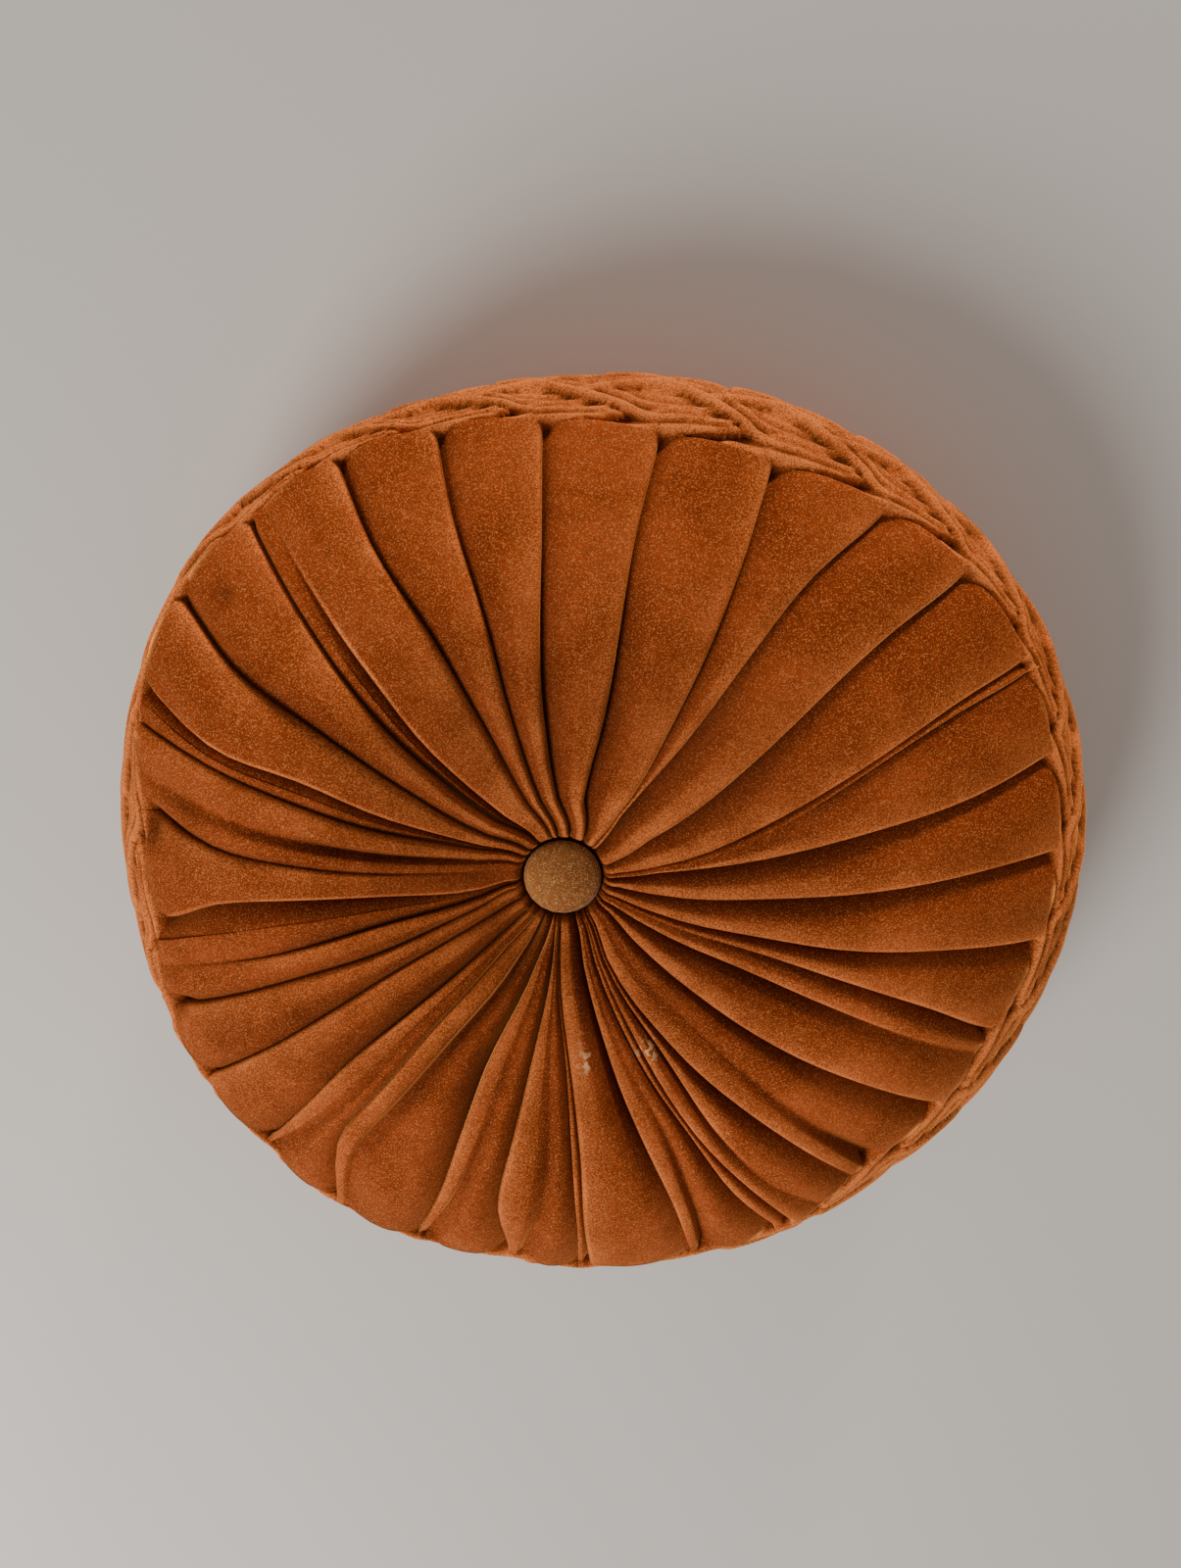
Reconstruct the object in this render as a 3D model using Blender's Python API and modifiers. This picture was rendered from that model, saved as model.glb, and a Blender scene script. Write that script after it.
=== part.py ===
"""Round velvet cushion: pleated faces gathered under covered buttons, and a smocked side."""
import math
from collections import namedtuple

import bmesh
import bpy

# Driving dimensions, in metres. The cushion lies on its back, face up.
FRONT_RIM_HEIGHT = 0.0855
BACK_RIM_HEIGHT = 0.0225
FRONT_CROWN = 0.0225
BACK_CROWN = 0.0250
FACE_X = -0.0156
FACE_Y = 0.0023
BUTTON_X = -0.0168
BUTTON_Y = 0.0014
BUTTON_RADIUS = 0.0160
BUTTON_THICKNESS = 0.0085
BUTTON_EDGE_SHARE = 0.35
BUTTON_SHANK_SIDE_RADIUS = 0.0145
BUTTON_SIDES = 32
DOME_STEPS = 8
FRONT_BUTTON_TOP = 0.0870
BACK_BUTTON_TOP = 0.0185
TOUCH_GAP = 0.0003

# How far each thing reaches on the way from the button (0) to the rim (1)
BUTTON_REACH = 0.088
NECK_REACH = 0.12
CROWN_REACH = 0.60
FRONT_RINGS = (BUTTON_REACH, 0.12, 0.17, 0.24, 0.34, 0.46, 0.58, 0.70, 0.81, 0.90, 0.96, 1.0)
BACK_RINGS = (1.0, 0.93, 0.84, 0.72, 0.55, 0.40, 0.27, 0.17, BUTTON_REACH)
SIDE_RINGS = (0.04, 0.09, 0.15, 0.22, 0.30, 0.39, 0.48, 0.57, 0.67, 0.77, 0.86, 0.94)

# Folds of the face, clockwise from the top. Angles in degrees where the crease
# crosses each of FOLD_REACH, the distance in millimetres from the button to the rim
# along it, and its depths in millimetres at each of DEPTH_REACH.
# Lap 1: the cloth before the crease lies on top; -1: the cloth after it; 0: a soft dip.
Fold = namedtuple("Fold", "rim edge outer middle inner neck hub at_rim at_outer at_inner at_neck lap")
FOLD_REACH = (1.0, 0.8, 0.6, 0.4, 0.2, 0.1)
DEPTH_REACH = (1.0, 0.75, 0.45, 0.2)
FOLDS = (
    Fold(0.8, 179.5, 0.3, -1.2, -2.2, -0.5, 11.0, 5.0, 5.0, 7.0, 6.0, 1),
    Fold(14.6, 178.0, 14.1, 14.6, 15.8, 17.2, 30.0, 5.0, 5.0, 8.0, 8.0, 1),
    Fold(28.7, 181.4, 30.0, 32.2, 35.0, 40.0, 44.0, 5.0, 6.0, 7.0, 4.0, 1),
    Fold(42.4, 191.4, 39.4, 38.9, 40.3, 42.2, 50.0, 5.0, 4.0, 3.5, 6.0, 1),
    Fold(53.9, 197.5, 52.6, 53.8, 57.5, 65.0, 75.0, 5.0, 5.0, 5.0, 4.0, 1),
    Fold(66.3, 200.7, 66.0, 68.6, 73.8, 81.8, 86.5, 5.0, 5.0, 6.0, 3.0, 1),
    Fold(67.5, 200.5, 67.3, 69.6, 75.5, 83.2, 88.0, 2.0, 3.0, 0.0, 0.0, 1),
    Fold(78.0, 199.0, 79.1, 80.3, 82.5, 85.6, 91.0, 5.0, 5.0, 5.0, 6.5, 1),
    Fold(89.8, 199.4, 90.3, 91.9, 94.8, 100.3, 101.5, 5.0, 4.0, 5.0, 4.0, 1),
    Fold(101.1, 198.1, 102.0, 104.3, 106.5, 111.8, 112.5, 5.0, 4.0, 6.0, 4.0, 1),
    Fold(114.3, 192.4, 111.8, 110.8, 111.0, 114.5, 115.5, 5.0, 4.0, 2.0, 0.0, 1),
    Fold(117.5, 192.5, 117.5, 116.8, 117.4, 121.3, 121.5, 0.0, 1.5, 5.0, 4.0, 1),
    Fold(126.4, 192.9, 127.4, 130.0, 132.3, 134.0, 129.0, 5.0, 3.5, 4.5, 4.0, 1),
    Fold(138.2, 187.9, 138.3, 139.0, 141.0, 144.0, 138.0, 4.0, 1.0, 0.0, 0.0, 0),
    Fold(141.5, 189.6, 142.9, 145.8, 150.3, 155.0, 147.0, 1.0, 4.0, 6.0, 5.0, 1),
    Fold(147.5, 192.7, 150.5, 152.7, 153.6, 157.0, 151.0, 0.0, 0.5, 5.0, 2.0, 1),
    Fold(152.0, 195.0, 153.6, 156.3, 158.6, 160.0, 155.0, 5.0, 4.0, 3.0, 0.0, 1),
    Fold(154.3, 194.1, 156.1, 157.6, 160.8, 162.8, 158.0, 3.0, 4.0, 3.0, 4.0, 1),
    Fold(164.3, 190.3, 162.3, 161.5, 164.5, 166.5, 161.5, 4.0, 2.0, 0.0, 0.0, 0),
    Fold(166.0, 190.3, 165.6, 166.8, 169.0, 170.3, 165.5, 1.0, 4.0, 7.0, 5.0, 1),
    Fold(180.2, 190.1, 180.3, 180.3, 181.5, 185.5, 186.0, 5.5, 5.0, 4.0, 6.0, 1),
    Fold(181.8, 189.5, 181.6, 181.8, 183.0, 186.8, 187.5, 0.0, 3.0, 3.0, 0.0, 1),
    Fold(189.5, 186.5, 187.3, 186.6, 187.5, 188.6, 189.5, 3.0, 3.0, 0.5, 0.0, 0),
    Fold(191.8, 185.6, 194.6, 194.5, 193.3, 190.4, 191.5, 6.0, 4.0, 5.0, 6.0, 1),
    Fold(203.4, 187.1, 201.9, 200.3, 199.5, 196.5, 193.5, 5.0, 3.0, 0.0, 0.0, 0),
    Fold(204.4, 187.2, 204.3, 205.4, 205.5, 200.3, 196.0, 3.0, 6.0, 8.0, 5.0, 1),
    Fold(215.0, 186.9, 219.8, 219.5, 217.2, 210.0, 207.0, 0.0, 2.5, 4.0, 6.0, 0),
    Fold(217.0, 186.9, 223.9, 224.7, 225.0, 222.5, 216.5, 6.0, 4.0, 4.0, 5.0, 1),
    Fold(229.0, 181.7, 228.1, 228.2, 229.0, 227.0, 223.0, 3.0, 2.0, 0.0, 0.0, 0),
    Fold(230.0, 181.3, 231.8, 233.7, 233.3, 230.8, 228.0, 4.0, 3.5, 4.0, 4.0, 1),
    Fold(242.3, 181.0, 243.6, 245.2, 246.8, 246.6, 245.5, 5.0, 3.5, 4.0, 4.0, 1),
    Fold(253.8, 177.0, 254.3, 254.8, 254.3, 256.5, 262.0, 5.5, 4.0, 4.0, 3.0, 1),
    Fold(260.0, 172.8, 261.0, 261.3, 262.6, 262.5, 266.0, 0.0, 1.0, 4.5, 3.0, 1),
    Fold(266.8, 168.2, 271.0, 272.5, 272.1, 269.0, 272.0, 6.0, 6.0, 6.0, 2.0, -1),
    Fold(283.0, 170.3, 280.5, 280.3, 281.0, 283.0, 287.0, 6.0, 3.0, 1.0, 0.0, 1),
    Fold(288.0, 174.0, 287.0, 286.0, 286.0, 290.0, 295.0, 0.0, 1.0, 3.0, 1.0, 0),
    Fold(294.8, 179.1, 293.7, 293.5, 293.4, 296.3, 303.0, 1.0, 3.5, 3.5, 5.0, 1),
    Fold(299.3, 182.5, 297.0, 298.4, 298.0, 300.3, 306.5, 6.0, 4.0, 4.0, 4.0, -1),
    Fold(311.0, 187.5, 308.9, 309.3, 308.1, 306.8, 314.0, 5.5, 4.0, 4.0, 4.0, 1),
    Fold(323.8, 186.2, 322.1, 319.5, 317.5, 316.8, 328.0, 5.0, 4.0, 6.0, 9.0, 1),
    Fold(326.0, 186.2, 325.6, 324.3, 322.3, 324.0, 332.0, 0.0, 2.0, 6.0, 9.0, -1),
    Fold(336.3, 186.0, 336.1, 338.5, 339.4, 340.8, 349.0, 5.0, 4.5, 6.0, 6.0, 1),
    Fold(348.3, 182.5, 348.1, 348.6, 348.1, 348.5, 356.0, 5.0, 4.0, 5.0, 5.0, 1),
)
COLUMNS_A_FOLD = 4
SWELL = 0.0022
SWELL_REACH = 0.4
UNDER_DROP_SHARE = 0.25
BACK_FOLD_SHARE = 0.8

# Where the shoulder of a fold stands beside its crease, as a share of the fold
LIP_SHARE = 0.08
UNDER_SHARE = 0.30
DIP_SHARE = 0.20

# The fullest line of the side, in millimetres from the middle, clockwise from the top
Girth = namedtuple("Girth", "degrees away")
GIRTHS = (
    Girth(0.0, 196.6),
    Girth(30.0, 199.8),
    Girth(60.0, 203.0),
    Girth(90.0, 202.6),
    Girth(120.0, 200.8),
    Girth(150.0, 199.3),
    Girth(180.0, 197.0),
    Girth(210.0, 199.2),
    Girth(240.0, 201.8),
    Girth(270.0, 202.2),
    Girth(300.0, 204.9),
    Girth(315.0, 207.4),
    Girth(330.0, 204.3),
    Girth(345.0, 198.9),
)
GIRTH_BIAS = 0.76
SIDE_FULLNESS = 0.8

# The smocked side: at each pinched corner of the rim a fold's tail turns over the rim, a strip
# comes down on its tip, and a strip lies on the head of that one. Turns are counted in corners,
# and the way across from the front rim (0) to the back rim (1). The back's leaves stand half a
# corner further on.
CORNER_DEPTH = 3.5
Leaf = namedtuple("Leaf", "turn_from across_from turn_to across_to")
LEAVES = (
    Leaf(0.10, 0.00, 1.80, 0.05),
    Leaf(0.55, 0.45, 1.90, 0.05),
    Leaf(0.35, 0.15, 1.70, 0.52),
)
BACK_SHIFT = 0.5
LEAF_PITCH = 0.045
LEAF_RAISE = 0.0042
LEAF_TOP = 0.0006
LEAF_HALF_WIDTH = 0.0085
LEAF_TIP_SHARE = 0.35
SIDE_WIDTH = 0.070
RIM_BLEND = 0.05

VELVET = (0.420, 0.115, 0.022, 1.0)
BUTTON_CLOTH = (0.300, 0.105, 0.028, 1.0)


def smooth(value):
    """Ease from 0 to 1."""
    value = min(max(value, 0.0), 1.0)
    return value * value * (3.0 - 2.0 * value)


def read_row(stops, values, at):
    """Read a row of values, given at falling stops, with a smooth curve through them."""
    if at >= stops[0]:
        return values[0]
    for i in range(len(stops) - 1):
        if at < stops[i + 1]:
            continue
        share = (stops[i] - at) / (stops[i] - stops[i + 1])
        before = values[max(i - 1, 0)]
        after = values[min(i + 2, len(values) - 1)]
        start_slope = 0.5 * (values[i + 1] - before)
        end_slope = 0.5 * (after - values[i])
        rise = values[i + 1] - values[i]
        bend = share * (1.0 - share)
        straight = values[i] + rise * smooth(share)
        return straight + bend * ((1.0 - share) * start_slope - share * end_slope)
    return values[-1]


def crease_angle(index, reach):
    """Angle of a crease, in degrees clockwise from the top, at a share of the way out."""
    turns, index = divmod(index, len(FOLDS))
    fold = FOLDS[index]
    angles = (fold.rim, fold.outer, fold.middle, fold.inner, fold.neck, fold.hub)
    return read_row(FOLD_REACH, angles, reach) + 360.0 * turns


def crease_depth(index, reach):
    """Depth of a crease in metres."""
    fold = FOLDS[index % len(FOLDS)]
    depths = (fold.at_rim, fold.at_outer, fold.at_inner, fold.at_neck)
    return max(read_row(DEPTH_REACH, depths, reach), 0.0) / 1000.0


def crease_lap(index):
    return FOLDS[index % len(FOLDS)].lap


def column_share(index, step):
    """Share of the fold's width at which one of its columns stands."""
    before = {1: UNDER_SHARE, -1: LIP_SHARE, 0: DIP_SHARE}[crease_lap(index)]
    after = {1: LIP_SHARE, -1: UNDER_SHARE, 0: DIP_SHARE}[crease_lap(index + 1)]
    return (0.0, before, 0.5 * (before + 1.0 - after), 1.0 - after)[step]


def read_round(degrees, stops, values):
    """Read a value between stops that go round in a ring of 360 degrees."""
    degrees %= 360.0
    for i in range(len(stops)):
        start = stops[i - 1] - (360.0 if i == 0 else 0.0)
        if degrees < stops[i]:
            share = (degrees - start) / (stops[i] - start)
            return values[i - 1] + share * (values[i] - values[i - 1])
    share = (degrees - stops[-1]) / (stops[0] + 360.0 - stops[-1])
    return values[-1] + share * (values[0] - values[-1])


def rim_reach(degrees):
    """Distance from the button's axis to the rim in metres."""
    stops = [fold.rim for fold in FOLDS]
    return read_round(degrees, stops, [fold.edge for fold in FOLDS]) / 1000.0


def girth(degrees):
    """Distance from the middle of the cushion to the fullest line of its side, in metres."""
    stops = [row.degrees for row in GIRTHS]
    return read_round(degrees, stops, [row.away for row in GIRTHS]) / 1000.0


def crown(reach):
    """Height of the face over its rim, from 0 at the button and the rim to 1 on the crown."""
    if reach < CROWN_REACH:
        share = max(reach - NECK_REACH, 0.0) / (CROWN_REACH - NECK_REACH)
        return math.sin(0.5 * math.pi * share)
    return 1.0 - ((reach - CROWN_REACH) / (1.0 - CROWN_REACH)) ** 2.2


def fold_relief(index, share, step, reach):
    """Rise of a fold over its creases: a swelling middle and a drop at either crease."""
    swell = SWELL * math.sin(math.pi * share) * smooth(reach / SWELL_REACH)
    if step == 0:
        return -crease_depth(index, reach)
    if step == 1 and crease_lap(index) == 1:
        return swell - UNDER_DROP_SHARE * crease_depth(index, reach)
    if step == 3 and crease_lap(index + 1) == -1:
        return swell - UNDER_DROP_SHARE * crease_depth(index + 1, reach)
    return swell


def leaf_height(leaf, turn, across):
    """Height of one leaf of the plait over a place on the side, 0 where it does not reach."""
    run = (leaf.turn_to - leaf.turn_from) * LEAF_PITCH
    slant = (leaf.across_to - leaf.across_from) * SIDE_WIDTH
    length = math.hypot(run, slant)
    away = (turn - leaf.turn_from) * LEAF_PITCH
    down = (across - leaf.across_from) * SIDE_WIDTH
    along = (away * run + down * slant) / length ** 2
    if along <= 0.0 or along >= 1.0:
        return 0.0
    beside = (away * slant - down * run) / length
    half = LEAF_HALF_WIDTH * (1.0 - (1.0 - LEAF_TIP_SHARE) * along)
    place = beside / half
    if abs(place) >= 1.0:
        return 0.0
    back = smooth((place + 1.0) / 1.5)
    roll = math.sqrt(1.0 - max(place - 0.5, 0.0) ** 2 / 0.25)
    ends = smooth(along / 0.3) * (1.0 - 0.5 * along) * smooth((1.0 - along) / 0.12)
    return back * roll * ends


def side_relief(degrees, across):
    """Rise of the highest of the leaves that meet at a place, and the drop between leaves."""
    corners = [fold.rim for fold in FOLDS if fold.at_rim >= CORNER_DEPTH]
    before = sum(1 for corner in corners if corner <= degrees % 360.0) - 1
    start = corners[before] - (360.0 if before < 0 else 0.0)
    end = corners[(before + 1) % len(corners)]
    end += 360.0 if before == len(corners) - 1 else 0.0
    turn = (degrees % 360.0 - start) / (end - start)
    highest = 0.0
    for leaf in LEAVES:
        for count in range(-2, 3):
            front = leaf_height(leaf, turn - count, across)
            back = leaf_height(leaf, turn - count - BACK_SHIFT, 1.0 - across)
            highest = max(highest, front, back)
    return LEAF_TOP + LEAF_RAISE * (highest - 1.0)


def face_place(column, reach):
    """Where a column crosses a face, drawn in to the button, and the rise of its fold there."""
    index, step = divmod(column, COLUMNS_A_FOLD)
    share = column_share(index, step)
    start = crease_angle(index, reach)
    degrees = start + share * (crease_angle(index + 1, reach) - start)
    angle = math.radians(degrees)
    away = rim_reach(degrees) * reach
    drawn = ((1.0 - reach) / (1.0 - BUTTON_REACH)) ** 3
    x = FACE_X + (BUTTON_X - FACE_X) * drawn + away * math.sin(angle)
    y = FACE_Y + (BUTTON_Y - FACE_Y) * drawn + away * math.cos(angle)
    return x, y, fold_relief(index, share, step, reach)


def front_point(column, reach):
    """A point of the face, with a hollow in its middle for the button."""
    x, y, relief = face_place(column, reach)
    if reach <= BUTTON_REACH:
        return x, y, FRONT_BUTTON_TOP - BUTTON_THICKNESS - TOUCH_GAP
    return x, y, FRONT_RIM_HEIGHT + FRONT_CROWN * crown(reach) + relief


def back_point(column, reach):
    """A point of the back, gathered as the face is, and flat where it lies on the surface."""
    x, y, relief = face_place(column, reach)
    if reach <= BUTTON_REACH:
        return x, y, BACK_BUTTON_TOP + BUTTON_THICKNESS + TOUCH_GAP
    height = BACK_RIM_HEIGHT - BACK_CROWN * crown(reach) - BACK_FOLD_SHARE * relief
    return x, y, max(height, 0.0)


def side_point(column, across):
    """A point of the side, on a bulging arc between the rims, raised by the plait."""
    x, y, _ = face_place(column, 1.0)
    rim = math.hypot(x, y)
    around = math.degrees(math.atan2(x, y))
    in_face = math.degrees(math.atan2(x - FACE_X, y - FACE_Y))
    bulge = math.sin(math.pi * across ** GIRTH_BIAS) ** SIDE_FULLNESS
    base = rim + (girth(around) - rim) * bulge
    fade = smooth(across / RIM_BLEND) * smooth((1.0 - across) / RIM_BLEND)
    scale = (base + fade * side_relief(in_face, across)) / rim
    height = FRONT_RIM_HEIGHT + (BACK_RIM_HEIGHT - FRONT_RIM_HEIGHT) * across
    return x * scale, y * scale, height


def velvet(name, colour, roughness):
    """A plain cloth material."""
    material = bpy.data.materials.new(name)
    material.use_nodes = True
    shader = material.node_tree.nodes["Principled BSDF"]
    shader.inputs["Base Color"].default_value = colour
    shader.inputs["Roughness"].default_value = roughness
    shader.inputs["Metallic"].default_value = 0.0
    material.diffuse_color = colour
    return material


def add_object(name, shape, material, collection):
    """Finish a bmesh as a named object."""
    mesh = bpy.data.meshes.new(name)
    shape.to_mesh(mesh)
    shape.free()
    mesh.materials.append(material)
    item = bpy.data.objects.new(name, mesh)
    collection.objects.link(item)
    return item


def make_cushion(material, collection):
    """The filled body: a sphere whose rings become the face, the side and the back."""
    columns = COLUMNS_A_FOLD * len(FOLDS)
    rings = len(FRONT_RINGS) + len(SIDE_RINGS) + len(BACK_RINGS)
    shape = bmesh.new()
    bmesh.ops.create_uvsphere(shape, u_segments=columns, v_segments=rings + 1, radius=1.0)
    for vert in shape.verts:
        ring = round(math.acos(max(-1.0, min(1.0, vert.co.z))) * (rings + 1) / math.pi) - 1
        column = round(math.atan2(vert.co.x, vert.co.y) * columns / (2.0 * math.pi)) % columns
        if ring < 0:
            height = front_point(0, BUTTON_REACH)[2]
            vert.co = (BUTTON_X, BUTTON_Y, height)
        elif ring == rings:
            height = back_point(0, BUTTON_REACH)[2]
            vert.co = (BUTTON_X, BUTTON_Y, height)
        elif ring < len(FRONT_RINGS):
            vert.co = front_point(column, FRONT_RINGS[ring])
        elif ring < len(FRONT_RINGS) + len(SIDE_RINGS):
            vert.co = side_point(column, SIDE_RINGS[ring - len(FRONT_RINGS)])
        else:
            ring -= len(FRONT_RINGS) + len(SIDE_RINGS)
            vert.co = back_point(column, BACK_RINGS[ring])
    bmesh.ops.triangulate(shape, faces=shape.faces, quad_method="SHORT_EDGE")
    return add_object("cushion", shape, material, collection)


def make_button(name, material, collection):
    """A covered button: a cloth dome with its top at the origin, turned about its axis."""
    edge = BUTTON_EDGE_SHARE * BUTTON_THICKNESS - BUTTON_THICKNESS
    profile = [(0.0, 0.0)]
    for step in range(1, DOME_STEPS + 1):
        angle = 0.5 * math.pi * step / DOME_STEPS
        profile.append((BUTTON_RADIUS * math.sin(angle), edge * (1.0 - math.cos(angle))))
    profile.append((BUTTON_SHANK_SIDE_RADIUS, -BUTTON_THICKNESS))
    profile.append((0.0, -BUTTON_THICKNESS))
    shape = bmesh.new()
    verts = [shape.verts.new((across, 0.0, height)) for across, height in profile]
    for first, second in zip(verts, verts[1:]):
        shape.edges.new((first, second))
    item = add_object(name, shape, material, collection)
    turn = item.modifiers.new("turn", "SCREW")
    turn.angle = 2.0 * math.pi
    turn.steps = BUTTON_SIDES
    turn.render_steps = BUTTON_SIDES
    turn.use_merge_vertices = True
    turn.merge_threshold = 0.00001
    return item


for old in list(bpy.data.objects):
    bpy.data.objects.remove(old, do_unlink=True)

parts = bpy.data.collections.new("round_cushion")
bpy.context.scene.collection.children.link(parts)
rust_velvet = velvet("rust_velvet", VELVET, 0.85)
button_cloth = velvet("button_cloth", BUTTON_CLOTH, 0.75)

make_cushion(rust_velvet, parts)
front = make_button("button_front", button_cloth, parts)
front.location = (BUTTON_X, BUTTON_Y, FRONT_BUTTON_TOP)
back = make_button("button_back", button_cloth, parts)
back.location = (BUTTON_X, BUTTON_Y, BACK_BUTTON_TOP)
back.rotation_euler = (math.pi, 0.0, 0.0)
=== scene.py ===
import math
from collections import namedtuple

import bmesh
import bpy
import numpy as np
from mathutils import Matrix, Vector


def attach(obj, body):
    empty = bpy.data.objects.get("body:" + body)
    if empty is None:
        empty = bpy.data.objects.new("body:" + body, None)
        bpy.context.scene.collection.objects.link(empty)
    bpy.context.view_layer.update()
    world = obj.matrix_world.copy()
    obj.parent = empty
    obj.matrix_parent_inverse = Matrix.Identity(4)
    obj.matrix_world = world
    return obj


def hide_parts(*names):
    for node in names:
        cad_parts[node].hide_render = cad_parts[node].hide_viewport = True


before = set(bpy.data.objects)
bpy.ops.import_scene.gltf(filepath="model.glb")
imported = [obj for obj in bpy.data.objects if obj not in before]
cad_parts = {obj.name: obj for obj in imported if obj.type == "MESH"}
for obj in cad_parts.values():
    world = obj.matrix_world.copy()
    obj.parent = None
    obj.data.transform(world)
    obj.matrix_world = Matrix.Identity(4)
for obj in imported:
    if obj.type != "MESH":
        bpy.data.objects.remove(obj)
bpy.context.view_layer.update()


# Camera: nearly over the top of the face and tipped towards its middle, as the photograph was taken
CAMERA_PLACE = (0.00737, 0.19113, 0.55204)
CAMERA_TURN = (-17.7365, 0.2689, -3.1281)
CAMERA_LENS = 28.125
FILM_LONG_SIDE = 36.0

camera_data = bpy.data.cameras.new("camera")
camera_data.lens = CAMERA_LENS
camera_data.sensor_width = FILM_LONG_SIDE
camera_data.sensor_fit = "AUTO"
camera_data.clip_start = 0.01
camera = bpy.data.objects.new("camera", camera_data)
camera.location = CAMERA_PLACE
camera.rotation_euler = [math.radians(turn) for turn in CAMERA_TURN]
bpy.context.scene.collection.objects.link(camera)
bpy.context.scene.camera = camera


# Floor and studio light: a pale matt floor, a large soft light from the lower left of the picture,
# a warm low lamp far beyond its top, which rakes over the side, and a weak even sky
FLOOR_HALF = 3.0
FLOOR_COLOUR = (0.62, 0.60, 0.57, 1.0)
SKY_COLOUR = (1.0, 0.97, 0.95, 1.0)
SKY_STRENGTH = 0.31
LIGHTS_AIM = (0.0, 0.0, 0.05)
Light = namedtuple("Light", "name place width power colour")
LIGHTS = (
    Light("window", (-1.24, -1.18, 1.35), 1.1, 50.0, (1.0, 0.95, 0.90)),
    Light("lamp", (1.15, 3.90, 0.34), 0.6, 164.0, (1.0, 0.84, 0.64)),
)

floor_shape = bmesh.new()
bmesh.ops.create_grid(floor_shape, x_segments=1, y_segments=1, size=FLOOR_HALF)
floor_mesh = bpy.data.meshes.new("floor")
floor_shape.to_mesh(floor_mesh)
floor_shape.free()
floor = bpy.data.objects.new("floor", floor_mesh)
floor_paint = bpy.data.materials.new("pale_floor")
floor_paint.use_nodes = True
floor_shader = floor_paint.node_tree.nodes["Principled BSDF"]
floor_shader.inputs["Base Color"].default_value = FLOOR_COLOUR
floor_shader.inputs["Roughness"].default_value = 0.7
floor_mesh.materials.append(floor_paint)
bpy.context.scene.collection.objects.link(floor)

world = bpy.data.worlds.new("studio")
world.use_nodes = True
world.node_tree.nodes["Background"].inputs["Color"].default_value = SKY_COLOUR
world.node_tree.nodes["Background"].inputs["Strength"].default_value = SKY_STRENGTH
bpy.context.scene.world = world
for light in LIGHTS:
    lamp_data = bpy.data.lights.new(light.name, "AREA")
    lamp_data.shape = "DISK"
    lamp_data.size = light.width
    lamp_data.energy = light.power
    lamp_data.color = light.colour
    lamp = bpy.data.objects.new(light.name, lamp_data)
    lamp.location = light.place
    towards = Vector(LIGHTS_AIM) - Vector(light.place)
    lamp.rotation_euler = towards.to_track_quat("-Z", "Y").to_euler()
    bpy.context.scene.collection.objects.link(lamp)


# Cushion: one velvet cover, pleated over both faces from the button to pinched corners on the rim,
# and smocked round the side into a plait. It is one closed form, turned fold by fold about the button.
FRONT_RIM_HEIGHT = 0.0855
BACK_RIM_HEIGHT = 0.0225
FRONT_CROWN = 0.0225
BACK_CROWN = 0.0250
FACE_X = -0.0156
FACE_Y = 0.0023
BUTTON_X = -0.0168
BUTTON_Y = 0.0014
BUTTON_THICKNESS = 0.0085
FRONT_BUTTON_TOP = 0.0870
BACK_BUTTON_TOP = 0.0185
TOUCH_GAP = 0.0003
BUTTON_REACH = 0.088
NECK_TOP_REACH = 0.108
NECK_REACH = 0.12
CROWN_REACH = 0.60
CROWN_FALL = 2.2

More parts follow.
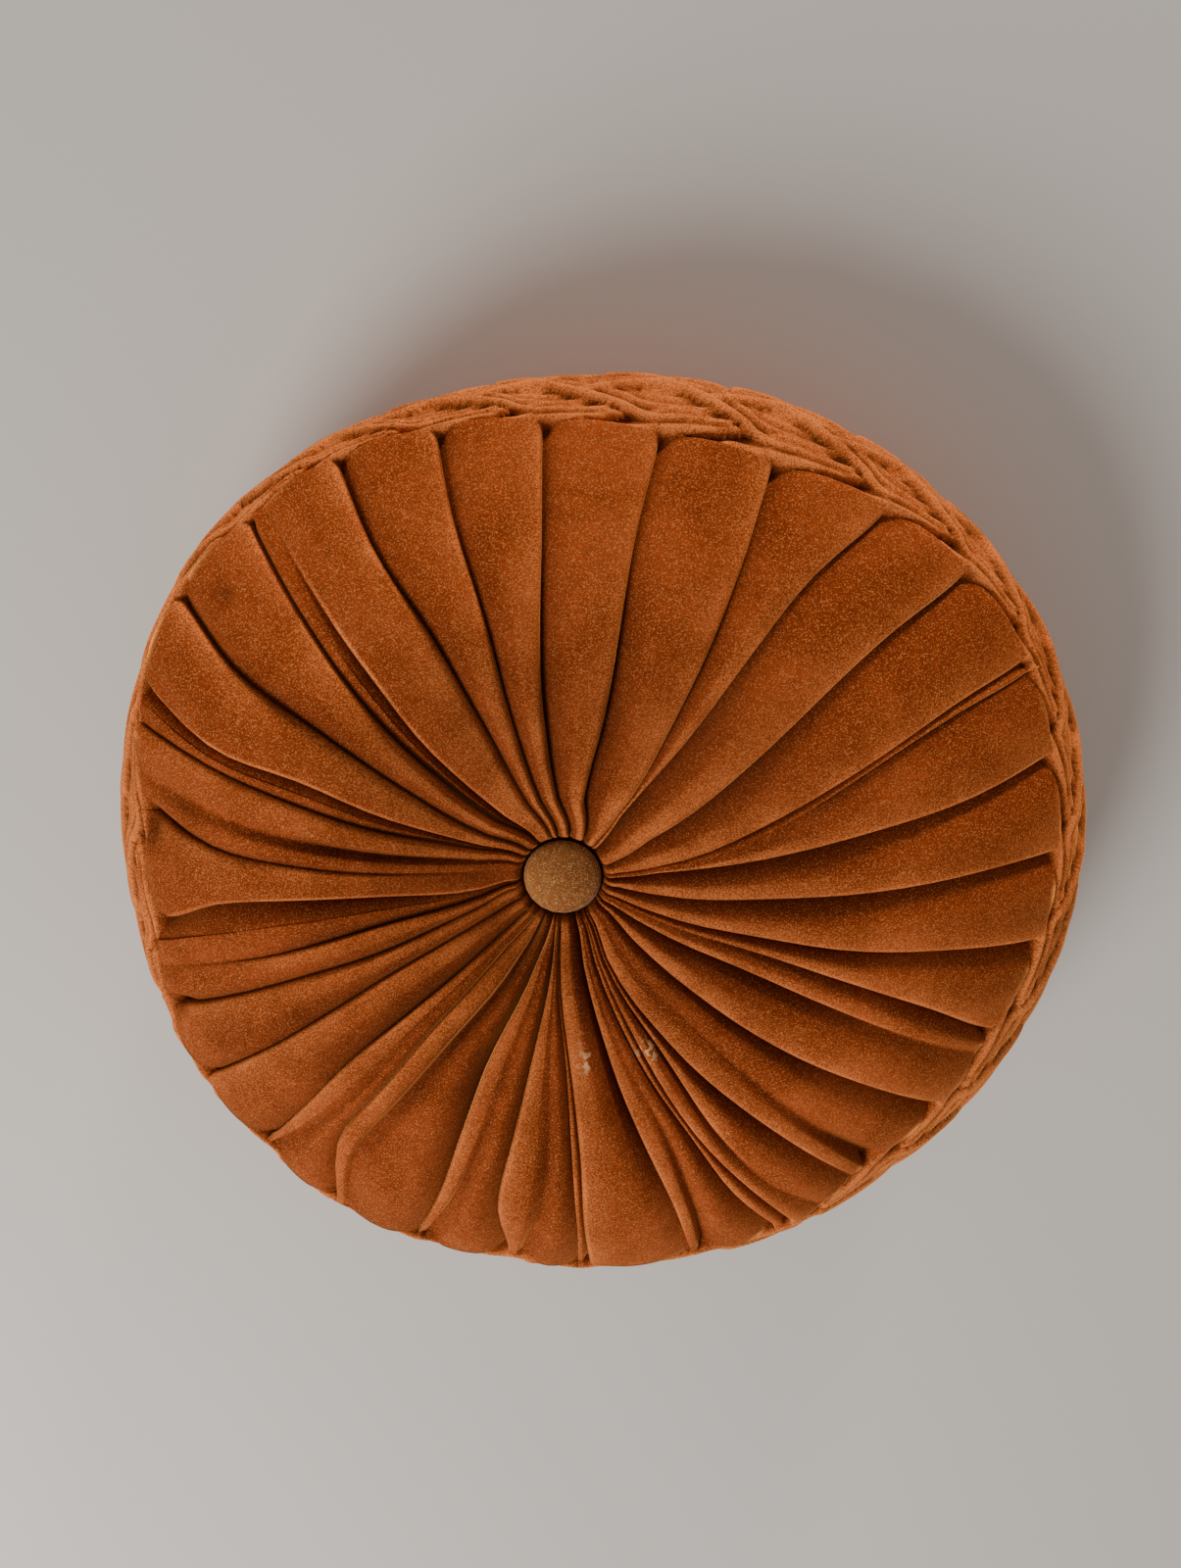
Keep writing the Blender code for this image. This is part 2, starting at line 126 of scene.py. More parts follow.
# Angles in degrees clockwise from the top, at each of FOLD_REACH from the button (0) to the rim (1),
# the distance in millimetres from the button to the rim along the crease, and its depth in
# millimetres at each of DEPTH_REACH. The last columns are how far the cloth after the crease lies
# under its neighbours, and the lap: 1 where the cloth before the crease lies on top, -1 where the
# cloth after it does, 0 for a soft dip.
Fold = namedtuple(
    "Fold",
    "rim edge outer middle inner neck hub at_rim at_outer at_inner at_neck sunk_out sunk_in lap")
FOLD_REACH = (1.0, 0.8, 0.6, 0.4, 0.2, 0.1)
DEPTH_REACH = (1.0, 0.75, 0.45, 0.2)
SINK_REACH = (0.85, 0.35)
FOLDS = (
    Fold(0.8, 179.5, 0.3, -1.2, -2.2, -0.5, 11.0, 5.0, 5.0, 7.0, 6.0, 0.0, 0.0, 1),
    Fold(14.6, 178.0, 14.1, 14.6, 15.8, 17.2, 30.0, 5.0, 5.0, 8.0, 8.0, 0.0, 0.0, 1),
    Fold(28.7, 181.4, 30.0, 32.2, 35.0, 40.0, 44.0, 5.0, 6.0, 7.0, 4.0, 0.0, 1.5, 1),
    Fold(42.4, 191.4, 39.4, 38.9, 40.3, 42.2, 50.0, 5.0, 4.0, 3.5, 6.0, 0.0, 0.0, 1),
    Fold(53.9, 197.5, 52.6, 53.8, 57.5, 65.0, 75.0, 5.0, 5.0, 5.0, 4.0, 0.0, 0.0, 1),
    Fold(66.3, 200.7, 66.0, 68.6, 73.8, 81.8, 86.5, 5.0, 5.0, 6.0, 3.0, 1.2, 0.0, 1),
    Fold(67.5, 200.5, 67.3, 69.6, 75.5, 83.2, 88.0, 2.0, 3.0, 0.0, 0.0, 0.0, 0.0, 1),
    Fold(78.0, 199.0, 79.1, 80.3, 82.5, 85.6, 91.0, 5.0, 5.0, 5.0, 6.5, 0.0, 0.0, 1),
    Fold(89.8, 199.4, 90.3, 91.9, 94.8, 100.3, 101.5, 5.0, 4.0, 5.0, 4.0, 0.0, 0.0, 1),
    Fold(101.1, 198.1, 102.0, 104.3, 106.5, 111.8, 112.5, 5.0, 4.0, 6.0, 4.0, 0.0, 0.0, 1),
    Fold(114.3, 192.4, 111.8, 110.8, 111.0, 114.5, 115.5, 5.0, 4.0, 2.0, 0.0, 0.0, 0.0, 1),
    Fold(117.5, 192.5, 117.5, 116.8, 117.4, 121.3, 121.5, 0.0, 1.5, 5.0, 4.0, 0.0, 0.0, 1),
    Fold(126.4, 192.9, 127.4, 130.0, 132.3, 134.0, 129.0, 5.0, 3.5, 4.5, 4.0, 0.0, 0.0, 1),
    Fold(138.2, 187.9, 138.3, 139.0, 141.0, 144.0, 138.0, 4.0, 1.0, 0.0, 0.0, 0.0, 0.0, 0),
    Fold(141.5, 189.6, 142.9, 145.8, 150.3, 155.0, 147.0, 1.0, 4.0, 6.0, 5.0, 0.0, 1.0, 1),
    Fold(147.5, 192.7, 150.5, 152.7, 153.6, 157.0, 151.0, 0.0, 0.5, 5.0, 2.0, 0.0, 0.0, 1),
    Fold(152.0, 195.0, 153.6, 156.3, 158.6, 160.0, 155.0, 5.0, 4.0, 3.0, 0.0, 1.5, 1.0, 1),
    Fold(154.3, 194.1, 156.1, 157.6, 160.8, 162.8, 158.0, 3.0, 4.0, 3.0, 4.0, 0.0, 0.0, 1),
    Fold(164.3, 190.3, 162.3, 161.5, 164.5, 166.5, 161.5, 4.0, 2.0, 0.0, 0.0, 0.0, 0.0, 0),
    Fold(166.0, 190.3, 165.6, 166.8, 169.0, 170.3, 165.5, 1.0, 4.0, 7.0, 5.0, 0.0, 0.0, 1),
    Fold(180.2, 190.1, 180.3, 180.3, 181.5, 185.5, 186.0, 5.5, 5.0, 4.0, 6.0, 2.0, 2.0, 1),
    Fold(181.8, 189.5, 181.6, 181.8, 183.0, 186.8, 187.5, 0.0, 3.0, 3.0, 0.0, 0.0, 0.0, 1),
    Fold(189.5, 186.5, 187.3, 186.6, 187.5, 188.6, 189.5, 3.0, 3.0, 0.5, 0.0, 1.5, 0.0, 0),
    Fold(191.8, 185.6, 194.6, 194.5, 193.3, 190.4, 191.5, 6.0, 4.0, 5.0, 6.0, 0.0, 0.0, 1),
    Fold(203.4, 187.1, 201.9, 200.3, 199.5, 196.5, 193.5, 5.0, 3.0, 0.0, 0.0, 1.5, 0.0, 0),
    Fold(204.4, 187.2, 204.3, 205.4, 205.5, 200.3, 196.0, 3.0, 6.0, 8.0, 5.0, 0.0, 0.0, 1),
    Fold(215.0, 186.9, 219.8, 219.5, 217.2, 210.0, 207.0, 0.0, 2.5, 4.0, 6.0, 0.0, 0.0, 0),
    Fold(217.0, 186.9, 223.9, 224.7, 225.0, 222.5, 216.5, 6.0, 4.0, 4.0, 5.0, 0.0, 0.0, 1),
    Fold(229.0, 181.7, 228.1, 228.2, 229.0, 227.0, 223.0, 3.0, 2.0, 0.0, 0.0, 1.0, 0.0, 0),
    Fold(230.0, 181.3, 231.8, 233.7, 233.3, 230.8, 228.0, 4.0, 3.5, 4.0, 4.0, 0.0, 0.0, 1),
    Fold(242.3, 181.0, 243.6, 245.2, 246.8, 246.6, 245.5, 5.0, 3.5, 4.0, 4.0, 0.0, 0.0, 1),
    Fold(253.8, 177.0, 254.3, 254.8, 254.3, 256.5, 262.0, 5.5, 4.0, 4.0, 3.0, 0.0, 0.0, 1),
    Fold(260.0, 172.8, 261.0, 261.3, 262.6, 262.5, 266.0, 0.0, 1.0, 4.0, 3.0, 0.0, 2.5, 1),
    Fold(266.8, 168.2, 271.0, 272.5, 272.1, 269.0, 272.0, 6.0, 6.0, 6.0, 2.0, 0.0, 0.0, -1),
    Fold(283.0, 170.3, 280.5, 280.3, 281.0, 283.0, 287.0, 6.0, 3.0, 1.0, 0.0, 0.0, 0.0, 1),
    Fold(288.0, 174.0, 287.0, 286.0, 286.0, 290.0, 295.0, 0.0, 1.0, 3.0, 1.0, 0.0, 0.0, 0),
    Fold(294.8, 179.1, 293.7, 293.5, 293.4, 296.3, 303.0, 1.0, 3.5, 3.5, 5.0, 1.0, 2.0, 1),
    Fold(299.3, 182.5, 297.0, 298.4, 298.0, 300.3, 306.5, 6.0, 4.0, 4.0, 4.0, 0.0, 0.0, -1),
    Fold(311.0, 187.5, 308.9, 309.3, 308.1, 306.8, 314.0, 5.5, 4.0, 4.0, 4.0, 0.0, 0.0, 1),
    Fold(323.8, 186.2, 322.1, 319.5, 317.5, 316.8, 328.0, 5.0, 4.0, 6.0, 9.0, 0.0, 4.0, 1),
    Fold(326.0, 186.2, 325.6, 324.3, 322.3, 324.0, 332.0, 0.0, 2.0, 6.0, 9.0, 0.0, 0.0, -1),
    Fold(336.3, 186.0, 336.1, 338.5, 339.4, 340.8, 349.0, 5.0, 4.5, 6.0, 6.0, 0.0, 0.0, 1),
    Fold(348.3, 182.5, 348.1, 348.6, 348.1, 348.5, 356.0, 5.0, 4.0, 5.0, 5.0, 0.0, 0.0, 1),
)
ROWS = np.array(FOLDS)
CREASE_ANGLES = ROWS[:, (0, 2, 3, 4, 5, 6)]
RIM_AWAY = ROWS[:, 1] / 1000.0
CREASE_DEPTHS = ROWS[:, 7:11] / 1000.0
SINKS = ROWS[:, 11:13] / 1000.0
LAPS = ROWS[:, 13]
LAPS_AFTER = np.roll(LAPS, -1)

# The mesh: columns across a fold, close together beside its creases, and rings from button to button.
# Each column knows its fold, its zone (0 by the crease before, 1 in the middle, 2 by the crease after),
# its share of the shoulder and its share of the middle.
SHOULDER_COLUMNS = 6
MIDDLE_A_DEGREE = 1.38
COLUMNS = []
for index, fold in enumerate(FOLDS):
    degrees = (FOLDS[(index + 1) % len(FOLDS)].rim - fold.rim) % 360.0
    middles = 1 + round(MIDDLE_A_DEGREE * degrees)
    for step in range(SHOULDER_COLUMNS):
        COLUMNS.append((index, 0, step / SHOULDER_COLUMNS, 0.0))
    for step in range(middles + 1):
        COLUMNS.append((index, 1, 1.0, step / middles))
    for step in range(1, SHOULDER_COLUMNS):
        COLUMNS.append((index, 2, 1.0 - step / SHOULDER_COLUMNS, 0.0))
COLUMNS = np.array(COLUMNS)
COLUMN_FOLD = COLUMNS[:, 0].astype(int)
COLUMN_ZONE = COLUMNS[:, 1]
COLUMN_SHARE = COLUMNS[:, 2]
MIDDLE_SHARE = COLUMNS[:, 3]
FIRST_COLUMN = np.searchsorted(COLUMN_FOLD, np.arange(len(FOLDS)))
COLUMN_STEP = (np.arange(len(COLUMNS)) - FIRST_COLUMN[COLUMN_FOLD]) / np.bincount(COLUMN_FOLD)[COLUMN_FOLD]

# The corners of the rim, where the deepest creases end in a pit under the first pleat of the side
NOMINAL_RIM = 0.185
CORNER_DEPTH = 3.5
CORNERS = np.array([row.rim for row in FOLDS if row.at_rim >= CORNER_DEPTH])
LEAF_PITCH = 44.0
PIT_TURN = 1.03
PIT_WAY = 0.8
PIT_WIDTH = 1.2
PIT_LENGTH = 2.0
PIT_DEPTH = 0.0022

# Dents pressed into the face, in metres, with painted shade in their middles, and the slight wander
# of every crease
Dent = namedtuple("Dent", "degrees reach width length depth dark")
DENTS = (
    Dent(316.0, 0.92, 0.0045, 0.0050, 0.0022, 0.55),
    Dent(310.0, 0.74, 0.0040, 0.0200, 0.0012, 0.35),
    Dent(249.0, 0.85, 0.0090, 0.0120, 0.0012, 0.30),
    Dent(248.5, 0.66, 0.0070, 0.0140, 0.0012, 0.30),
    Dent(239.0, 0.66, 0.0060, 0.0160, 0.0010, 0.25),
    Dent(286.5, 0.90, 0.0070, 0.0100, 0.0012, 0.30),
    Dent(254.0, 0.985, 0.0050, 0.0060, 0.0028, 0.70),
    Dent(281.5, 0.990, 0.0100, 0.0060, 0.0030, 0.75),
)
WANDER = math.radians(0.12)
WANDER_TURNS = 12.0
WANDER_SHIFT = 2.4

# A crease: the cloth on top ends in a rolled lip that hangs over it, the cloth under it slopes away.
# A width ending in MOST is a share of the fold that it never passes.
LIP_RADIUS = 0.0026
LIP_MOST = 0.20
LIP_TURN = math.radians(150.0)
UNDER_WIDTH = 0.013
UNDER_MOST = 0.58
UNDER_SPREAD = 1.3
UNDER_BEND = 1.7
DIP_WIDTH = 0.009
DIP_MOST = 0.36
FIRM_DEPTH = 0.0025
LEAST_DEPTH = 0.000001
SINK_DEPTH_SHARE = 1.15
SWELL = 0.0024
SWELL_REACH = 0.4
SWELL_WIDTH = 0.02
RIM_TILT = math.radians(50.0)
RIM_TILT_REACH = 0.8
RIM_TILT_OVER = 0.2
BACK_FOLD_SHARE = 0.8
EVEN_HUB = 0.15
DRAWN_BEND = 3

# Painted shade under a lip and towards the button, and painted highlight along a lip
LIP_HIDDEN_FROM = math.radians(60.0)
LIP_HIDDEN_OVER = math.radians(50.0)
LIP_BRIGHT_AT = math.radians(40.0)
LIP_BRIGHT_OVER = math.radians(32.0)
CREASE_LINE = 5
CREASE_SHADE = 1.1
DIP_SHADE = 0.6
OUTER_SHADE = 0.45
OUTER_REACH = 0.92
OUTER_OVER = 0.45
MIDDLE_SHADE = 0.34
MIDDLE_REACH = 0.72
MIDDLE_OVER = 0.35
GLOW = 0.42
GLOW_FADE = 0.007
INNER_GLOW = 1.3
INNER_REACH = 0.55
INNER_OVER = 0.3


def smooth(value):
    """Ease from 0 to 1."""
    value = np.clip(value, 0.0, 1.0)
    return value * value * (3.0 - 2.0 * value)


def read_rows(stops, rows, at):
    """Read every fold's row of values, given at falling stops, on a smooth curve through them."""
    if at >= stops[0]:
        return rows[:, 0]
    for i in range(len(stops) - 1):
        if at < stops[i + 1]:
            continue
        share = (stops[i] - at) / (stops[i] - stops[i + 1])
        before = rows[:, max(i - 1, 0)]
        after = rows[:, min(i + 2, rows.shape[1] - 1)]
        start_slope = 0.5 * (rows[:, i + 1] - before)
        end_slope = 0.5 * (after - rows[:, i])
        straight = rows[:, i] + (rows[:, i + 1] - rows[:, i]) * smooth(share)
        bend = share * (1.0 - share)
        return straight + bend * ((1.0 - share) * start_slope - share * end_slope)
    return rows[:, -1]


def rim_reach(angle):
    """Distance from the button's axis to the rim, in directions given in radians."""
    return np.interp(np.degrees(angle), ROWS[:, 0], RIM_AWAY, period=360.0)


def crown(reach):
    """Height of the face over its rim, from 0 at the button and the rim to 1 on the crown."""
    if reach < CROWN_REACH:
        share = max(reach - NECK_REACH, 0.0) / (CROWN_REACH - NECK_REACH)
        return math.sin(0.5 * math.pi * share)
    return 1.0 - ((reach - CROWN_REACH) / (1.0 - CROWN_REACH)) ** CROWN_FALL


def corner_turn(angle):
    """Angles counted in corners of the rim."""
    return np.interp(
        np.degrees(angle) % 360.0,
        np.concatenate((CORNERS[-1:] - 360.0, CORNERS, CORNERS[:1] + 360.0)),
        np.arange(-1.0, len(CORNERS) + 1.0))


def corner_pit(angle, way):
    """How far a place, some millimetres of cloth from the front rim, lies in a corner's pit."""
    turn = corner_turn(angle) + 0.5 - PIT_TURN
    around = (turn - np.floor(turn) - 0.5) * LEAF_PITCH
    return np.exp(-(around / PIT_WIDTH) ** 2 - ((way - PIT_WAY) / PIT_LENGTH) ** 2)


def shoulder(depth, lap, lip, width, tuck, shade):
    """One side of every column's fold: distance from the crease, drop, painted shade and painted
    highlight.
    """
    share = COLUMN_SHARE
    firm = np.clip(depth / FIRM_DEPTH, 0.0, 1.0)
    turn = (1.0 - share) * LIP_TURN
    under = np.minimum(UNDER_WIDTH, UNDER_MOST * width)
    dip = np.minimum(DIP_WIDTH, DIP_MOST * width)
    lip_away = firm * lip * (1.0 - np.sin(turn)) + (1.0 - firm) * share * lip
    lip_drop = depth * (1.0 - np.cos(turn)) / (1.0 - math.cos(LIP_TURN))
    under_away = -tuck + share ** UNDER_SPREAD * (under + tuck)
    under_drop = depth * (1.0 - share ** UNDER_SPREAD) ** UNDER_BEND
    dip_drop = depth * 0.5 * (1.0 + np.cos(math.pi * share))
    away = np.where(lap == 1, lip_away, np.where(lap == -1, under_away, share * dip))
    drop = np.where(lap == 1, lip_drop, np.where(lap == -1, under_drop, dip_drop))
    # Painted shade where a lip turns under and beside the crease, painted highlight along the lip
    hidden = smooth((turn - LIP_HIDDEN_FROM) / LIP_HIDDEN_OVER)
    under_dark = np.maximum((1.0 - share) ** CREASE_LINE, shade * (1.0 - share) ** CREASE_SHADE)
    dip_dark = shade * DIP_SHADE * (1.0 - share)
    dark = np.where(lap == 1, hidden, np.where(lap == -1, under_dark, dip_dark))
    bright = np.exp(-((turn - LIP_BRIGHT_AT) / LIP_BRIGHT_OVER) ** 2)
    return away, drop, dark * firm, np.where(lap == 1, bright, 0.0) * firm


def dent_share(angle, reach):
    """The drop of places in the dents of the face, and their painted shade."""
    drop = np.zeros_like(angle)
    dark = np.zeros_like(angle)
    for dent in DENTS:
        around = np.degrees(angle) - dent.degrees
        around = np.radians(around - 360.0 * np.round(around / 360.0)) * NOMINAL_RIM * reach
        away = (reach - dent.reach) * NOMINAL_RIM
        share = np.exp(-(around / dent.width) ** 2 - (away / dent.length) ** 2)
        drop = drop + dent.depth * share
        dark = np.maximum(dark, dent.dark * share)
    return drop, dark


def fold_ring(reach):
    """One ring of a face: the angle, rise, painted shade and painted highlight of every column.

    A fold's near side is by the crease before it, its far side by the crease after it.
    """
    angles = np.radians(read_rows(FOLD_REACH, CREASE_ANGLES, reach))
    angles += WANDER * np.sin(WANDER_TURNS * reach + WANDER_SHIFT * np.arange(len(FOLDS)))
    after = np.append(angles[1:], angles[0] + 2.0 * math.pi)
    away = rim_reach(0.5 * (angles + after)) * reach
    width = (after - angles) * away
    depth = np.maximum(read_rows(DEPTH_REACH, CREASE_DEPTHS, reach), 0.0)
    sink = np.maximum(read_rows(SINK_REACH, SINKS, reach), 0.0)
    depth = np.maximum(depth, SINK_DEPTH_SHARE * np.maximum(sink, np.roll(sink, 1)))
    lip = np.minimum(LIP_RADIUS, LIP_MOST * width)
    tuck = (1.0 - math.sin(LIP_TURN)) * np.clip(depth / FIRM_DEPTH, 0.0, 1.0)
    fold = COLUMN_FOLD
    # Painted shade beside the creases, lighter by the rim
    inwards = float(smooth((OUTER_REACH - reach) / OUTER_OVER))
    shade = OUTER_SHADE + (1.0 - OUTER_SHADE) * inwards
    near, near_drop, near_dark, near_light = shoulder(
        depth[fold], -LAPS[fold], lip[fold], width[fold], (tuck * np.roll(lip, 1))[fold], shade)
    depth_after = np.roll(depth, -1)
    tuck_after = np.roll(tuck * lip, -1)
    far, far_drop, far_dark, far_light = shoulder(
        depth_after[fold], LAPS_AFTER[fold], lip[fold], width[fold], tuck_after[fold], shade)
    far = width[fold] - far
    middle = near + (far - near) * MIDDLE_SHARE
    firm_after = np.clip(depth_after / FIRM_DEPTH, 0.0, 1.0)
    # Painted highlight on the cloth before each lapped crease, stronger towards the button
    glow = np.where(LAPS_AFTER == 1, firm_after, 0.0)[fold] * GLOW
    glow = glow * (1.0 + INNER_GLOW * float(smooth((INNER_REACH - reach) / INNER_OVER)))
    glow = glow * np.exp((middle - far) / GLOW_FADE)
    column = np.where(COLUMN_ZONE == 0, near, np.where(COLUMN_ZONE == 2, far, middle))
    drop = np.where(COLUMN_ZONE == 0, near_drop, np.where(COLUMN_ZONE == 2, far_drop, 0.0))
    dark = np.where(COLUMN_ZONE == 2, far_dark, np.where(COLUMN_ZONE == 0, near_dark, 0.0))
    light = np.where(COLUMN_ZONE == 2, far_light, np.where(COLUMN_ZONE == 0, near_light, glow))
    light = np.where(COLUMN_ZONE == 2, np.maximum(light, glow * (1.0 - far_dark)), light)
    across = np.clip(column / width[fold], 0.0, 1.0)
    swell = SWELL * np.sin(math.pi * across) * smooth(reach / SWELL_REACH)
    rise = swell * np.minimum(1.0, width / SWELL_WIDTH)[fold] - drop
    floor_share = 1.0 - np.clip(drop / np.maximum(depth, LEAST_DEPTH)[fold], 0.0, 1.0)
    rise -= sink[fold] * floor_share
    angle = angles[fold] + column / away[fold]
    # Painted shade deepening towards the button
    middle_dark = MIDDLE_SHADE * float(smooth((MIDDLE_REACH - reach) / MIDDLE_OVER))
    dark = dark + (1.0 - dark) * middle_dark
    # Painted shade in the dents and the corner pits, where the cloth also drops
    pit = corner_pit(angle, (1.0 - reach) * 1000.0 * NOMINAL_RIM)
    dent_drop, dent_dark = dent_share(angle, reach)
    dark = np.maximum(dark + (1.0 - dark) * dent_dark, pit)
    return angle, rise - PIT_DEPTH * pit - dent_drop, dark, light * (1.0 - pit)


# The side: a plait of leaves that all run clockwise from the pinched corners of the rim. The tail of
# each fold of the face turns over the rim beside its corner and lies on the next fold, a strip of the
# second row comes down on the tail's tip, and a strip of the third row lies on the second's head.
# The back rim has the same three rows, half a leaf further round. Turns are counted in corners, and
# the way from the front rim in millimetres of cloth.
Girth = namedtuple("Girth", "degrees away")
GIRTHS = (
    Girth(0.0, 196.6),
    Girth(30.0, 199.8),
    Girth(60.0, 203.0),
    Girth(90.0, 202.6),
    Girth(120.0, 200.8),
    Girth(150.0, 199.3),
    Girth(180.0, 197.0),
    Girth(210.0, 199.2),
    Girth(240.0, 201.8),
    Girth(270.0, 202.2),
    Girth(300.0, 204.9),
    Girth(315.0, 207.4),
    Girth(330.0, 204.3),
    Girth(345.0, 198.9),
)
GIRTH_BIAS = 0.76
SIDE_FULLNESS = 0.8
NOMINAL_GIRTH = 0.2015
BACK_SHIFT = 0.5
RIM_BLEND = 1.6
EVEN_BLEND = 7.0
Line = namedtuple("Line", "turn away")
TAIL_OUTER = (
    Line(-0.40, -4.0), Line(0.0, 0.0), Line(0.40, 2.0), Line(0.65, 5.5), Line(0.85, 9.0),
    Line(1.05, 10.8), Line(1.30, 10.4), Line(1.50, 8.8), Line(1.74, 6.6))
TAIL_LIP = (
    Line(1.0, 0.0), Line(1.10, 0.3), Line(1.30, 1.5), Line(1.48, 2.8), Line(1.64, 5.0),
    Line(1.74, 6.6))
TAIL_WRINKLES = (
    (Line(0.83, 1.8), Line(0.92, 1.0), Line(1.0, 0.1), Line(1.05, -0.5)),
    (Line(0.58, 3.6), Line(0.80, 3.9), Line(1.0, 4.4), Line(1.15, 5.0), Line(1.35, 5.4),
     Line(1.62, 6.2)),
    (Line(0.34, 0.8), Line(0.65, 4.4), Line(0.90, 7.4), Line(1.15, 8.4), Line(1.50, 7.6)))
SECOND_EDGE = (
    Line(0.55, 33.0), Line(0.80, 28.5), Line(0.95, 24.0), Line(1.08, 19.4), Line(1.20, 16.4),
    Line(1.37, 12.9), Line(1.50, 10.4), Line(1.72, 6.4), Line(1.90, 4.2), Line(2.20, 4.0),
    Line(2.60, 6.0))
THIRD_EDGE = (
    Line(0.35, 13.0), Line(0.60, 16.8), Line(0.75, 18.8), Line(0.95, 22.2), Line(1.20, 27.5),
    Line(1.50, 35.5), Line(1.90, 46.0), Line(2.20, 55.0))
# Height of a strip's cloth at distances behind its rolled edge, in millimetres
Level = namedtuple("Level", "behind height")
SECOND_LEVELS = (
    Level(0.0, 1.5), Level(3.0, 1.5), Level(5.6, -0.8), Level(8.8, 0.6), Level(12.0, -1.0),
    Level(15.6, -0.4), Level(19.0, -1.6), Level(24.0, -2.0))
THIRD_LEVELS = (
    Level(0.0, 1.3), Level(3.0, 1.3), Level(5.8, -0.9), Level(9.2, 0.4), Level(12.6, -1.2),
    Level(16.5, -0.6), Level(20.5, -1.7), Level(26.0, -2.2))
PLAIT_FLOOR = -3.0
LEAF_EDGE = 2.2
LEAVES_REACH = 56.0
LEAF_OVERLAPS = 3
# A tail is low on its own fold, rises where it crosses the next one, and falls again to its tip
TAIL_EDGE = 3.2
TAIL_LOW = 0.2
TAIL_RISE = 1.3
TAIL_RISE_FROM = 0.72
TAIL_RISE_OVER = 0.28
TAIL_FALL_FROM = 1.3
TAIL_FALL_OVER = 1.2
WRINKLE_DEPTH = 2.0
WRINKLE_WIDTH = 1.35
WRINKLE_START = 0.17
WRINKLE_END = 0.05
# A strip grows narrower on its way and goes down under the next tail
STRIP_SPREAD = 1.15
STRIP_NARROWING = 0.35
STRIP_NARROWING_OVER = 1.2
UNDER_TAIL = 1.2
UNDER_TAIL_OVER = 0.12
SECOND_UNDER = 1.70
THIRD_UNDER = 1.75
# How far the leaves stray from even rows
STRAY_TURN = 0.030
STRAY_TURN_WAVES = 4.3
STRAY_AWAY = 0.8
STRAY_AWAY_WAVES = 2.6
STRAY_AWAY_SHIFT = 0.7
# The plait is evened with the cloth NEAR millimetres off, and gets painted highlight or painted shade
# where it stands over or under the cloth WIDE millimetres off
DIRECTIONS = np.radians(np.arange(0.0, 360.0, 45.0))
NEAR = 0.7
OWN_SHARE = 0.45
NEAR_SHARE = 0.55
WIDE = 2.4
LIGHT_OVER = 0.9
DARK_OVER = 1.15
# The side has a painted highlight all over, and its leaves rise straight out from it once they are past
# the rims
SIDE_GLOW = 0.66
SIDE_TILT = math.radians(90.0)
SIDE_TILT_OVER = 18.0


def line_distance(line, turn, away):
    """Distance of places from a line, in millimetres, positive on its side to the back."""
    turns, ways = np.array(line).T
    slope = np.gradient(ways, turns * LEAF_PITCH)
    lean = np.interp(turn, turns, slope)
    return (away - np.interp(turn, turns, ways)) / np.sqrt(1.0 + lean ** 2)


def rolled(distance, radius):
    """A rolled edge: 0 at the edge and 1 past the radius, round between."""
    share = 1.0 - np.clip(distance / radius, 0.0, 1.0)
    return np.sqrt(np.maximum(1.0 - share ** 2, 0.0))


def tail(turn, away):
    """The tail of a fold, in millimetres, or the floor where it does not lie."""
    outer = -line_distance(TAIL_OUTER, turn, away)
    lip = line_distance(TAIL_LIP, turn, away)
    past = smooth((turn - TAIL_RISE_FROM) / TAIL_RISE_OVER)
    top = TAIL_LOW + TAIL_RISE * past * smooth(1.0 - (turn - TAIL_FALL_FROM) / TAIL_FALL_OVER)
    height = PLAIT_FLOOR + (top - PLAIT_FLOOR) * rolled(outer, TAIL_EDGE - past)
    over = PLAIT_FLOOR + (top - PLAIT_FLOOR) * rolled(lip, LEAF_EDGE)
    height = np.where(turn > TAIL_LIP[0].turn, np.minimum(height, over), height)
    for wrinkle in TAIL_WRINKLES:
        groove = np.exp(-(line_distance(wrinkle, turn, away) / WRINKLE_WIDTH) ** 2)
        start = smooth((turn - wrinkle[0].turn) / WRINKLE_START)
        end = smooth((wrinkle[-1].turn - turn) / WRINKLE_END)
        height -= WRINKLE_DEPTH * groove * (start * end)
    inside = (turn > TAIL_OUTER[0].turn) & (turn < TAIL_OUTER[-1].turn)
    inside = inside & (outer > 0.0) & ((turn <= TAIL_LIP[0].turn) | (lip > 0.0))
    return np.where(inside, height, PLAIT_FLOOR)


def strip(edge, levels, under_from, turn, away):
    """A strip with a rolled front edge and smaller pleats, that ends under the next tail."""
    above = line_distance(edge, turn, away)
    behind, heights = np.array(levels).T
    narrowing = smooth((turn - edge[0].turn) / STRIP_NARROWING_OVER)
    top = np.interp(above / (STRIP_SPREAD - STRIP_NARROWING * narrowing), behind, heights)
    top = top - UNDER_TAIL * smooth((turn - under_from) / UNDER_TAIL_OVER)
    height = PLAIT_FLOOR + (top - PLAIT_FLOOR) * rolled(above, LEAF_EDGE)
    inside = (turn > edge[0].turn) & (turn < edge[-1].turn) & (above > 0.0)
    return np.where(inside & (above < behind[-1]), height, PLAIT_FLOOR)


def leaves(turn, away):
    """Height of the plait, in millimetres: the highest of the leaves that meet at a place."""
    height = np.full_like(turn, PLAIT_FLOOR)
    part = turn - np.floor(turn)
    for count in range(LEAF_OVERLAPS):
        height = np.maximum(height, tail(part + count - 1, away))
        second = strip(SECOND_EDGE, SECOND_LEVELS, SECOND_UNDER, part + count, away)
        third = strip(THIRD_EDGE, THIRD_LEVELS, THIRD_UNDER, part + count, away)
        height = np.maximum(np.maximum(height, second), third)
    return height


